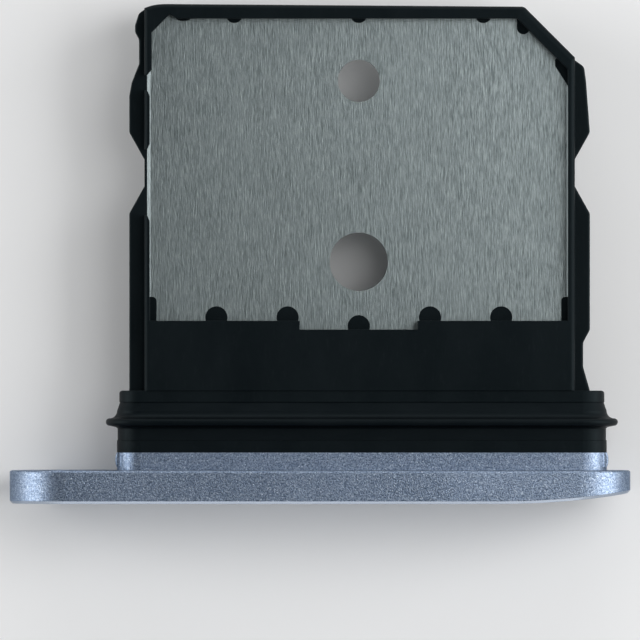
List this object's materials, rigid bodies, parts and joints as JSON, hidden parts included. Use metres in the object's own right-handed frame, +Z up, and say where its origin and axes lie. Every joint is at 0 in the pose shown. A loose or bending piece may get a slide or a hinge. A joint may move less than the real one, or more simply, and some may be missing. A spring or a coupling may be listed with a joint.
{
  "type": "sim card tray",
  "caption": "Flat card tray with a metal face and eject hole, a moulded frame with guide wings, a sheet floor and a rubber seal round the neck.",
  "frame": {"origin": "middle of the outer side of the metal face", "axes": "+Y into the phone, towards the tray's tip; +Z up out of the card's place, the side that faces the camera; +X along the face, away from the eject hole"},
  "size_m": [0.0184, 0.0148, 0.0034],
  "materials": {
    "head_metal": "bead-blasted and anodised, with a polished rim",
    "carrier_plastic": "matt black moulding",
    "floor_steel": "fine brushing along the tray",
    "seal_rubber": "smooth silicone rubber"
  },
  "bodies": {
    "root": {"face_head": "head_metal", "card_carrier": "carrier_plastic", "floor_plate": "floor_steel", "seal_ring": "seal_rubber"}
  },
  "joints": []
}
